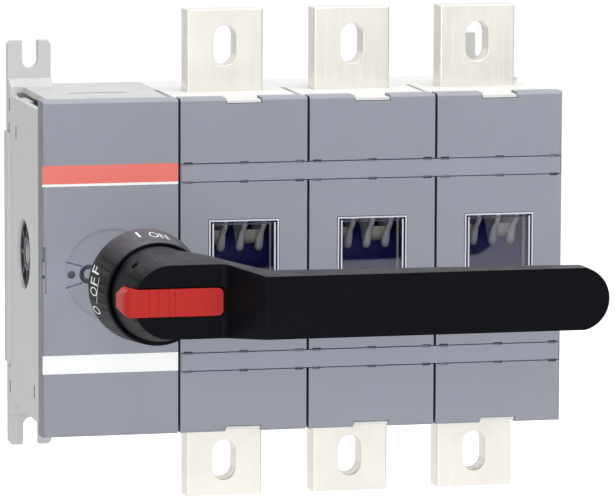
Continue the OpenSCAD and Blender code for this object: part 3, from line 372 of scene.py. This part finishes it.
def make_materials():
    return {
        "housing": plastic("housing_plastic", srgb(224, 224, 223), 0.5, tone=0.015, wear_and_edge_light=0.05),
        "mech_housing": plastic("mech_plastic", srgb(211, 211, 210), 0.5, tone=0.02, wear_and_edge_light=0.05,
                                dust_and_top_light=0.42),
        "foot": plastic("foot_plastic", srgb(203, 203, 202), 0.5, tone=0.02, wear_and_edge_light=0.05),
        # The covers get painted shade: navy in their narrow gaps and darker on faces turned to the left
        "cover": plastic("cover_plastic", srgb(150, 153, 163), 0.42, tone=0.02, wear_and_edge_light=0.3, specular=0.3,
                         gap_shade=srgb(34, 54, 108), left_side_shade=0.5),
        "strip": plastic("strip_plastic", srgb(153, 156, 169), 0.34, tone=0.02, wear_and_edge_light=0.14, specular=0.3),
        "band_red": plastic("band_red", srgb(236, 122, 111), 0.35, tone=0.02, wear_and_edge_light=0.05),
        "label_white": plastic("label_white", srgb(252, 253, 253), 0.45, tone=0.004, wear_and_edge_light=0.0),
        "handle": plastic("handle_plastic", srgb(11, 12, 17), 0.4, grain_strength=0.16, tone=0.12,
                          wear_and_edge_light=0.8, specular=0.055, dust_and_top_light=0.22),
        "ring": plastic("ring_plastic", srgb(16, 17, 23), 0.42, grain_strength=0.2, tone=0.1,
                        wear_and_edge_light=0.0, specular=0.055, dust_and_top_light=0.53),
        "slider": plastic("slider_plastic", srgb(183, 38, 34), 0.36, tone=0.04, wear_and_edge_light=0.6, specular=0.2),
        # Dark paint for the sheets in the window openings: painted shade
        "shade_lining": plastic("window_opening_shade", srgb(28, 28, 60), 0.6, tone=0.05, wear_and_edge_light=0.1, specular=0.1),
        # Dark paint for the blocks in the side slits: painted shade
        "shade_in_slits": plastic("slit_shade_paint", srgb(40, 42, 48), 0.5, tone=0.05, wear_and_edge_light=0.1, specular=0.1),
        "dark": plastic("dark_plastic", srgb(62, 66, 76), 0.42, tone=0.08, wear_and_edge_light=0.4),
        "drum": plastic("drum_plastic", srgb(40, 38, 112), 0.35, tone=0.1, wear_and_edge_light=0.5, specular=0.2),
        "letters": plastic("letter_ink", srgb(246, 246, 246), 0.5, tone=0.01, wear_and_edge_light=0.0),
        "silver": metal("silver_plate", srgb(236, 233, 225), 0.34, BRUSHED_UPRIGHT),
        "blade": metal("blade_silver", srgb(253, 253, 253), 0.3, BRUSHED_ALONG, line_strength=0.05,
                       dull=0.05, metallic=0.1),
        "clip": metal("clip_silver", srgb(255, 255, 255), 0.25, BRUSHED_ALONG, line_strength=0.05,
                      dull=0.04, metallic=0.1, navy_near_shaft=True),
        # The sunk webs take a darker, browner copy of the clip silver: painted shade
        "shaded_web": metal("clip_web_shaded", srgb(246, 236, 224), 0.4, BRUSHED_ALONG, line_strength=0.05,
                     dull=0.2, metallic=0.1, navy_near_shaft=True),
        "steel": metal("zinc_steel", srgb(196, 198, 200), 0.38),
        "spring": metal("spring_steel", srgb(150, 152, 156), 0.3),
        "arc": metal("arc_plate_steel", srgb(150, 150, 152), 0.45),
        "pane_1": clear_pane("window_clear_1", lean_up=0.022),
        "pane_2": clear_pane("window_clear_2", lean_up=0.0135),
        "pane_3": clear_pane("window_clear_3", lean_up=0.0115),
    }


MATERIAL_OF = {
    "mech_rear_shell": "mech_housing",
    "mech_front_shell": "mech_housing",
    "mech_cover": "cover",
    "marking_band": "band_red",
    "label_strips": "label_white",
    "shaft_bush": "dark",
    "shaft_bracket": "steel",
    "rack_guide": "steel",
    "side_bearing": "dark",
    "drive_rack": "steel",
    "rack_spring": "spring",
    "handle_shaft": "steel",
    "drive_pinion": "steel",
    "handle_grip": "handle",
    "lock_slider": "slider",
    "switch_ring": "ring",
    "ring_screws": "steel",
    "cross_shaft": "steel",
    "cross_gear": "steel",
    "marker_strip_top": "strip",
    "marker_strip_bottom": "strip",
    "tie_rods": "steel",
    "foot_left": "foot",
    "foot_right": "foot",
    "foot_screws": "steel",
    "pole_rear": "housing",
    "pole_front": "housing",
    "pole_cover": "cover",
    "window_1": "pane_1",
    "window_2": "pane_2",
    "window_3": "pane_3",
    "terminal_top": "silver",
    "terminal_bottom": "silver",
    "drum": "drum",
    "blades": "blade",
    "arc_plates": "arc",
}


def family(name):
    """Node name without the number of its pole."""
    stem, _, last = name.rpartition("_")
    return stem if last.isdigit() else name


def dress_nodes(materials):
    for name, obj in nodes.items():
        obj.data.materials.clear()
        obj.data.materials.append(materials[MATERIAL_OF.get(name) or MATERIAL_OF[family(name)]])


# Rounded edges of the moulded and machined nodes, in millimetres
EDGE_OF = {
    "mech_rear_shell": 0.5,
    "mech_front_shell": 0.5,
    "mech_cover": 0.5,
    "pole_rear": 0.5,
    "pole_front": 0.5,
    "pole_cover": 0.5,
    "terminal_top": 0.35,
    "terminal_bottom": 0.35,
    "foot_left": 0.6,
    "foot_right": 0.6,
    "window": 0.3,
    "switch_ring": 0.6,
    "handle_grip": 1.0,
}
EDGE_ANGLE = 34
FLAT_ANGLE = 0.5
WELD_REACH = 0.002 * MM


def add_bevel(obj, width, segments):
    bevel = obj.modifiers.new("edges", "BEVEL")
    bevel.width = width
    bevel.segments = segments
    bevel.limit_method = "ANGLE"
    bevel.angle_limit = math.radians(EDGE_ANGLE)
    bevel.use_clamp_overlap = True
    bevel.harden_normals = True


def round_edges():
    for name, obj in nodes.items():
        width = EDGE_OF.get(family(name))
        if width is None:
            continue
        weld = obj.modifiers.new("weld", "WELD")
        weld.merge_threshold = WELD_REACH
        flats = obj.modifiers.new("flats", "DECIMATE")
        flats.decimate_type = "DISSOLVE"
        flats.angle_limit = math.radians(FLAT_ANGLE)
        add_bevel(obj, width * MM, 2)


def new_piece(name, form, body, material):
    """Object made from a finished form, on one of the moving bodies."""
    mesh = bpy.data.meshes.new(name)
    form.to_mesh(mesh)
    form.free()
    mesh.materials.append(material)
    obj = bpy.data.objects.new(name, mesh)
    bpy.context.scene.collection.objects.link(obj)
    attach(obj, body)
    return obj


# Letters on the ring: sign, degrees against the clock from +X as seen from the front,
# distance of the letter middle from the ring rear in millimetres
RING_LETTERS = (
    ("I", 102.0, 14.5),
    ("O", 87.0, 19.0),
    ("N", 76.5, 20.5),
    ("O", 182.0, 12.5),
    ("F", 171.5, 12.5),
    ("F", 160.0, 11.0),
    ("O", 202.5, 10.0),
)
LETTER_TALL = 13.5 * MM
LETTER_WIDE = {"I": 1.3 * MM, "O": 5.3 * MM, "N": 4.9 * MM, "F": 4.2 * MM}
INK = 0.12 * MM
RING_WALL = 2 * MM
RING_FRONT_R = 30.3 * MM


def ring_radius(depth):
    """Outer radius of the ring at a depth in front of its rear."""
    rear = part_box("switch_ring")[1].x - SHAFT_X
    full = RING_REAR_Y - RING_FRONT_Y
    share = max(0.0, (depth - RING_WALL) / (full - RING_WALL))
    return rear + (RING_FRONT_R - rear) * share


def on_ring(degrees, depth):
    radius = ring_radius(depth) + INK
    angle = math.radians(degrees)
    x = SHAFT_X + radius * math.cos(angle)
    z = SHAFT_Z + radius * math.sin(angle)
    return Vector((x, RING_REAR_Y - depth, z))


def letter_form(sign):
    """Flat form of one letter."""
    curve = bpy.data.curves.new("letter", "FONT")
    curve.body = sign
    curve.size = 1.0
    curve.resolution_u = 6
    maker = bpy.data.objects.new("letter", curve)
    bpy.context.scene.collection.objects.link(maker)
    bpy.context.view_layer.update()
    mesh = bpy.data.meshes.new_from_object(maker.evaluated_get(bpy.context.evaluated_depsgraph_get()))
    form = bmesh.new()
    form.from_mesh(mesh)
    bpy.data.meshes.remove(mesh)
    bpy.data.objects.remove(maker)
    bpy.data.curves.remove(curve)
    return form


def ring_lettering(material):
    for count, (sign, middle, depth_mid) in enumerate(RING_LETTERS):
        form = letter_form(sign)
        bmesh.ops.triangulate(form, faces=form.faces)
        bmesh.ops.subdivide_edges(form, edges=form.edges, cuts=1)
        low = min(v.co.y for v in form.verts)
        tall = max(v.co.y for v in form.verts) - low
        left = min(v.co.x for v in form.verts)
        wide = max(v.co.x for v in form.verts) - left
        for v in form.verts:
            across = ((v.co.x - left) / wide - 0.5) * LETTER_WIDE[sign]
            depth = depth_mid * MM - ((v.co.y - low) / tall - 0.5) * LETTER_TALL
            v.co = on_ring(middle - math.degrees(across / ring_radius(depth)), depth)
        new_piece("ring_letter_%d" % count, form, "base", material)


# Thin line beside OFF on the ring, as degrees and depth in millimetres
RING_LINE = ((165.5, 20.5), (178.0, 22.5), (194.5, 15.5))
RING_LINE_W = 0.8
RING_LINE_STEPS = 16


def ring_line(material):
    form = bmesh.new()
    rows = []
    for k in range(RING_LINE_STEPS + 1):
        t = k / RING_LINE_STEPS
        weights = ((1 - t) ** 2, 2 * t * (1 - t), t * t)
        degrees = sum(w * p[0] for w, p in zip(weights, RING_LINE))
        depth = sum(w * p[1] for w, p in zip(weights, RING_LINE))
        sides = [(depth + side * RING_LINE_W / 2) * MM for side in (-1, 1)]
        rows.append([form.verts.new(on_ring(degrees, place)) for place in sides])
    for a, b in zip(rows, rows[1:]):
        form.faces.new((a[0], a[1], b[1], b[0]))
    new_piece("ring_line", form, "base", material)


# Locking slider, measured from the handle axis and its front, in millimetres
SLIDER_FOLD = 3.4
SLIDER_END = 5.4
SLIDER_PROUD = 3.2
SLIDER_CORNER = 3.2
SLIDER_TAPER = 4.0
SLIDER_NOSE_DEEPER = 8
SLIDER_ROUNDED = 0.7
SLIDER_GROOVES = (-12.4, -7.0, -0.5, 2.6)
GROOVE_HALF = 1.6
GROOVE_DEEP = 0.7
# Share of its depth that the folded nose reaches at the end
SLIDER_NOSE_SHARE = 0.98
# Steps of the form: small ones over the nose, then even ones to the rounded corners
SLIDER_STEP = 0.6
SLIDER_NOSE_STEPS = 10
SLIDER_MIDDLE_STEPS = 120
SLIDER_CORNER_STEPS = 6


def slider_form(x, low, high):
    """Front place and half width of the slider at x in metres."""
    half = (high.z - low.z) / 2
    fold_start = low.x + SLIDER_END * MM
    front = low.y
    for groove in SLIDER_GROOVES:
        near = abs(x - SHAFT_X - groove * MM) / (GROOVE_HALF * MM)
        if near < 1:
            front = low.y + GROOVE_DEEP * MM * (0.5 + 0.5 * math.cos(math.pi * near))
    if x < fold_start:
        folded = (fold_start - x) / MM
        if folded < SLIDER_FOLD:
            front = low.y + SLIDER_PROUD * MM * folded / SLIDER_FOLD
        else:
            share = (folded - SLIDER_FOLD) / (SLIDER_END - SLIDER_FOLD)
            folded_front = low.y + SLIDER_PROUD * MM
            front = folded_front + (high.y - folded_front) * share * SLIDER_NOSE_SHARE
    left_cut = max(0.0, SLIDER_TAPER * MM - (x - low.x))
    corner = SLIDER_CORNER * MM
    near_end = corner - (high.x - x)
    right_cut = 0.0
    if near_end > 0:
        right_cut = corner - math.sqrt(max(0.0, corner * corner - near_end * near_end))
    return front, half - left_cut - right_cut


def slider_piece(material):
    low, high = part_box("lock_slider")
    seat = high.y - SLIDER_NOSE_DEEPER * MM
    nose = [low.x + k * SLIDER_STEP * MM for k in range(SLIDER_NOSE_STEPS)]
    angles = [math.pi / 2 * k / SLIDER_CORNER_STEPS for k in range(SLIDER_CORNER_STEPS + 1)]
    corner = [high.x - SLIDER_CORNER * MM * (1 - math.sin(angle)) for angle in angles]
    start = nose[-1] + SLIDER_STEP * MM / 2
    stride = (corner[0] - SLIDER_STEP * MM / 2 - start) / SLIDER_MIDDLE_STEPS
    middle = [start + stride * k for k in range(SLIDER_MIDDLE_STEPS + 1)]
    form = bmesh.new()
    mid_z = (low.z + high.z) / 2
    rows = []
    for x in nose + middle + corner:
        front, half = slider_form(x, low, high)
        rear = high.y if x < low.x + (SLIDER_END + 1) * MM else seat
        outline = ((front, half), (front, -half), (rear, -half), (rear, half))
        rows.append([form.verts.new((x, y, mid_z + z)) for y, z in outline])
    for a, b in zip(rows, rows[1:]):
        for k in range(4):
            form.faces.new((a[k], a[(k + 1) % 4], b[(k + 1) % 4], b[k])).smooth = True
    form.faces.new(rows[0])
    form.faces.new(rows[-1])
    bmesh.ops.recalc_face_normals(form, faces=form.faces)
    obj = new_piece("lock_slider_grip", form, "lock", material)
    add_bevel(obj, SLIDER_ROUNDED * MM, 3)
    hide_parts("lock_slider")


def block(form, low, high):
    """Box between two corners."""
    made = bmesh.ops.create_cube(form, size=1.0)
    for v in made["verts"]:
        v.co = Vector(a + (b - a) * (c + 0.5) for a, b, c in zip(low, high, v.co))


# Dark blocks in the slits of the left side, painted shade of the deep slits: depth from the rear plane
# and height, in millimetres
SLITS = ((11, 89), (10, 74), (33, 74), (10, -71), (11, -87), (92, -78))
SLIT_SHADE_SUNK = 0.15
SLIT_SHADE_DEEP = 1.0
SLIT_SHADE_HALF_W = 1.4
SLIT_SHADE_HALF_H = 3.9
INSERT_EDGE = 0.15

# Floors of the shelf slots: ends from the rear plane, sides from the left face, height of the
# shelf, how far the floor lies below it, and thickness
SHELF_ENDS = (31, 54)
SHELF_SIDES = (2.8, 7.2)
SHELF_Z = 95.3
SHELF_SUNK = 0.1
SHELF_T = 1.5


def side_inserts(materials):
    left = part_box("mech_front_shell")[0].x
    slit_blocks = bmesh.new()
    for depth, height in SLITS:
        low = (left + SLIT_SHADE_SUNK * MM, (-depth - SLIT_SHADE_HALF_W) * MM, (height - SLIT_SHADE_HALF_H) * MM)
        high = (low[0] + SLIT_SHADE_DEEP * MM, (-depth + SLIT_SHADE_HALF_W) * MM, (height + SLIT_SHADE_HALF_H) * MM)
        block(slit_blocks, low, high)
    floors = bmesh.new()
    for side in (1, -1):
        top = SHELF_Z - SHELF_SUNK
        z = sorted((side * (top - SHELF_T) * MM, side * top * MM))
        low = (left + SHELF_SIDES[0] * MM, -SHELF_ENDS[1] * MM, z[0])
        high = (left + SHELF_SIDES[1] * MM, -SHELF_ENDS[0] * MM, z[1])
        block(floors, low, high)
    # The slit blocks are painted shade; the shelf floors are housing plastic
    inserts = (("slit_shade_blocks", slit_blocks, "shade_in_slits"), ("shelf_floors", floors, "mech_housing"))
    for name, form, material in inserts:
        obj = new_piece(name, form, "base", materials[material])
        edge = obj.modifiers.new("edges", "BEVEL")
        edge.width = INSERT_EDGE * MM
        edge.segments = 2


# Dark sheets lining the openings behind the windows, painted shade on their walls, in millimetres
SHADE_SHEET_X = 19.6
SHADE_SHEET_LOW = -23.7
SHADE_SHEET_HIGH = 26.7
SHADE_SHEET_T = 0.5
SHADE_SHEET_DEEP = 4.6
SHADE_SHEET_BEHIND = 0.1


def paint_opening_shade(material):
    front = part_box("window_1")[1].y + SHADE_SHEET_BEHIND * MM
    for pole in POLES:
        low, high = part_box("window_" + pole)
        middle = (low.x + high.x) / 2
        form = bmesh.new()
        for side in (-1, 1):
            xs = sorted((middle + side * SHADE_SHEET_X * MM, middle + side * (SHADE_SHEET_X - SHADE_SHEET_T) * MM))
            block(form, (xs[0], front, SHADE_SHEET_LOW * MM), (xs[1], front + SHADE_SHEET_DEEP * MM, SHADE_SHEET_HIGH * MM))
        for z in (SHADE_SHEET_LOW, SHADE_SHEET_HIGH - SHADE_SHEET_T):
            block(form, (middle - (SHADE_SHEET_X - SHADE_SHEET_T) * MM, front, z * MM),
                  (middle + (SHADE_SHEET_X - SHADE_SHEET_T) * MM, front + SHADE_SHEET_DEEP * MM, (z + SHADE_SHEET_T) * MM))
        new_piece("opening_shade_sheet_" + pole, form, "base", material)


# Spring clips on the blades. They are wide outside the jaws, and slim enough for the jaw slots beyond.
BLADES = 4
BLADE_T = 3 * MM
BLADE_W = 14 * MM
BLADE_STRAIGHT = 39 * MM
CLIP_WIDE = 2.8 * MM
CLIP_SLIM = BLADE_T / 2 + 0.04 * MM
CLIP_START = 20.5 * MM
CLIP_END = 32.5 * MM
CLIP_TIP_DEG = 84
CLIP_BOW = 3.5 * MM
CLIP_STEPS = 8
WEB_SUNK = 2.2 * MM
SHEET_T = 0.3 * MM
OFF_TURN = 54


def blade_place(x, along, turn, out, half):
    """Point over a blade edge: along the blade, round its end by turn, then out from it."""
    off = math.radians(OFF_TURN)
    length = Vector((0, -math.sin(off), math.cos(off)))
    side = Vector((0, -math.cos(off), -math.sin(off)))
    bow = CLIP_BOW * math.cos(math.pi / 2 * min(1.0, (along - CLIP_START) / (CLIP_END - CLIP_START)))
    reach = BLADE_W / 2 + out + bow
    angle = math.radians(turn)
    local = length * (along + reach * math.sin(angle)) + side * (reach * math.cos(angle))
    return Vector((x, CROSS_Y, CROSS_Z)) + local * half


def clip_half_width(along):
    share = min(1.0, (along - CLIP_START) / (CLIP_END - CLIP_START))
    return CLIP_WIDE + (CLIP_SLIM - CLIP_WIDE) * share


def clip_outline(middle, along):
    """Outline of a clip across its blade, as places along X and out from the blade edge."""
    roll = clip_half_width(along)
    angles = [math.pi * k / CLIP_STEPS for k in range(CLIP_STEPS + 1)]
    arc = [(middle - roll * math.cos(angle), roll * math.sin(angle)) for angle in angles]
    return [(middle - roll, -WEB_SUNK)] + arc + [(middle + roll, -WEB_SUNK)]


def blade_sheet(name, outlines, stations, material):
    """Thin sheets that follow the blade edges. Each outline gives its places at a distance along."""
    form = bmesh.new()
    for half in (1, -1):
        for outline in outlines:
            rows = [[form.verts.new(blade_place(x, along, turn, out, half)) for x, out in outline(along)]
                    for along, turn in stations]
            for a, b in zip(rows, rows[1:]):
                for k in range(len(a) - 1):
                    form.faces.new((a[k], a[k + 1], b[k + 1], b[k])).smooth = True
    bmesh.ops.recalc_face_normals(form, faces=form.faces)
    obj = new_piece(name, form, "contacts", material)
    sheet = obj.modifiers.new("sheet", "SOLIDIFY")
    sheet.thickness = SHEET_T
    sheet.offset = -1.0


def blade_clips(materials):
    shares = [k / CLIP_STEPS for k in range(CLIP_STEPS + 1)]
    straight = [(CLIP_START + (CLIP_END - CLIP_START) * share, 0.0) for share in shares]
    tip = [(BLADE_STRAIGHT, CLIP_TIP_DEG * share) for share in shares]
    for pole in POLES:
        low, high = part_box("blades_" + pole)
        pitch = (high.x - low.x - BLADE_T) / (BLADES - 1)
        middles = [low.x + BLADE_T / 2 + pitch * k for k in range(BLADES)]
        clips = [lambda along, m=m: clip_outline(m, along) for m in middles]
        pairs = zip(middles[::2], middles[1::2])
        webs = [lambda along, a=a, b=b: [(a + BLADE_T / 2, -WEB_SUNK), (b - BLADE_T / 2, -WEB_SUNK)]
                for a, b in pairs]
        blade_sheet("blade_clips_" + pole, clips, straight + tip, materials["clip"])
        blade_sheet("clip_webs_" + pole, webs, straight, materials["shaded_web"])


# Drive spring in place of the plain rings: a coil that rides on the rack
COIL_TURNS = 7.5
COIL_END_TURNS = 1.0
COIL_STEPS = 28
COIL_SIDES = 10
COIL_WIRE_R = 0.9 * MM


def coil_spring(material):
    low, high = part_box("rack_spring")
    middle_x = (low.x + high.x) / 2
    middle_y = (low.y + high.y) / 2
    radius = (high.x - low.x) / 2 - COIL_WIRE_R
    wire = 2 * COIL_WIRE_R
    tall = high.z - low.z
    open_turns = COIL_TURNS - 2 * COIL_END_TURNS
    open_rise = (tall - wire - 2 * COIL_END_TURNS * wire) / open_turns
    form = bmesh.new()
    rings = []
    for k in range(round(COIL_TURNS * COIL_STEPS) + 1):
        turn = k / COIL_STEPS
        closed = min(turn, COIL_END_TURNS) + max(0.0, turn - COIL_TURNS + COIL_END_TURNS)
        rise = closed * wire + (turn - closed) * open_rise
        angle = 2 * math.pi * turn
        outward = Vector((math.cos(angle), math.sin(angle), 0))
        centre = Vector((middle_x, middle_y, low.z + COIL_WIRE_R + rise)) + outward * radius
        ring = []
        for side in range(COIL_SIDES):
            around = 2 * math.pi * side / COIL_SIDES
            offset = outward * math.cos(around) + Vector((0, 0, 1)) * math.sin(around)
            ring.append(form.verts.new(centre + offset * COIL_WIRE_R))
        rings.append(ring)
    for a, b in zip(rings, rings[1:]):
        for k in range(COIL_SIDES):
            form.faces.new((a[k], a[(k + 1) % COIL_SIDES], b[(k + 1) % COIL_SIDES], b[k])).smooth = True
    form.faces.new(rings[0])
    form.faces.new(rings[-1])
    bmesh.ops.recalc_face_normals(form, faces=form.faces)
    obj = new_piece("coil_spring", form, "rack", material)
    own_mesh(obj)
    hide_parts("rack_spring")


# Lamps: name, place, size in metres and power in watts
LAMPS = (
    ("lamp_top", (0.1, -0.35, 1.9), (1.8, 1.6), 32.0),
    ("lamp_front", (-0.75, -2.3, 0.32), (1.2, 1.0), 13.8),
    ("lamp_right", (1.3, -1.6, 1.0), (0.6, 0.6), 5.0),
)
LAMP_AIM = (0.0, -0.1, 0.0)
WORLD_LIGHT = 0.42


def area_lamp(name, place, size, power):
    data = bpy.data.lights.new(name, "AREA")
    data.shape = "RECTANGLE"
    data.size = size[0]
    data.size_y = size[1]
    data.energy = power
    lamp = bpy.data.objects.new(name, data)
    bpy.context.scene.collection.objects.link(lamp)
    lamp.location = place
    lamp.rotation_mode = "QUATERNION"
    lamp.rotation_quaternion = (Vector(LAMP_AIM) - Vector(place)).to_track_quat("-Z", "Y")


def make_world():
    world = bpy.data.worlds.new("world")
    bpy.context.scene.world = world
    world.use_nodes = True
    tree = world.node_tree
    background = tree.nodes["Background"]
    background.inputs["Color"].default_value = (1.0, 1.0, 1.0, 1.0)
    ray = tree.nodes.new("ShaderNodeLightPath")
    total = ray.outputs["Is Camera Ray"]
    for kind in ("Is Glossy Ray", "Is Transmission Ray"):
        node = tree.nodes.new("ShaderNodeMath")
        node.operation = "ADD"
        node.use_clamp = True
        tree.links.new(total, node.inputs[0])
        tree.links.new(ray.outputs[kind], node.inputs[1])
        total = node.outputs["Value"]
    strength = tree.nodes.new("ShaderNodeMapRange")
    strength.inputs["To Min"].default_value = WORLD_LIGHT
    strength.inputs["To Max"].default_value = 1.0
    tree.links.new(total, strength.inputs["Value"])
    tree.links.new(strength.outputs["Result"], background.inputs["Strength"])


FLOOR_HALF = 6.0
FLOOR_TONES = ((0.90, 0.90, 0.90, 1), (0.92, 0.92, 0.92, 1))
# What camera rays and mirrored rays see added to the floor's paint
FLOOR_GLOW = 0.6
FLOOR_GLOW_MIRRORED = 0.18


def make_floor():
    mesh = bpy.data.meshes.new("floor")
    form = bmesh.new()
    bmesh.ops.create_grid(form, x_segments=1, y_segments=1, size=FLOOR_HALF)
    bmesh.ops.translate(form, verts=form.verts, vec=(0, 0, FLOOR_Z))
    form.to_mesh(mesh)
    form.free()
    floor = bpy.data.objects.new("floor", mesh)
    bpy.context.scene.collection.objects.link(floor)
    s = Shader("floor_paint")
    tone = s.mix(s.spread(s.noise(FLOOR_CLOUDS, 3.0), 0.0, 1.0), *FLOOR_TONES)
    s.link(tone, s.surface.inputs["Base Color"])
    s.surface.inputs["Roughness"].default_value = 0.9
    s.surface.inputs["Specular IOR Level"].default_value = 0.0
    # Camera rays see the paint brightened to white where nothing shades it, mirrored rays less so
    glow = s.add("ShaderNodeEmission")
    ray = s.add("ShaderNodeLightPath")
    looked_at = s.add("ShaderNodeMath", operation="MAXIMUM")
    glows = (("Is Camera Ray", FLOOR_GLOW), ("Is Glossy Ray", FLOOR_GLOW_MIRRORED))
    for socket, (kind, strength) in zip(looked_at.inputs, glows):
        s.link(s.spread(ray.outputs[kind], 0.0, strength, 0.0, 1.0), socket)
    s.link(looked_at.outputs["Value"], glow.inputs["Strength"])
    both = s.add("ShaderNodeAddShader")
    s.link(s.surface.outputs["BSDF"], both.inputs[0])
    s.link(glow.outputs["Emission"], both.inputs[1])
    s.link(both.outputs["Shader"], s.tree.nodes["Material Output"].inputs["Surface"])
    mesh.materials.append(s.material)


bpy.context.scene.view_settings.view_transform = "Standard"
make_camera()
materials = make_materials()
dress_nodes(materials)
round_edges()
ring_lettering(materials["letters"])
ring_line(materials["letters"])
slider_piece(materials["slider"])
side_inserts(materials)
paint_opening_shade(materials["shade_lining"])
blade_clips(materials)
coil_spring(materials["spring"])
for lamp_values in LAMPS:
    area_lamp(*lamp_values)
make_world()
make_floor()
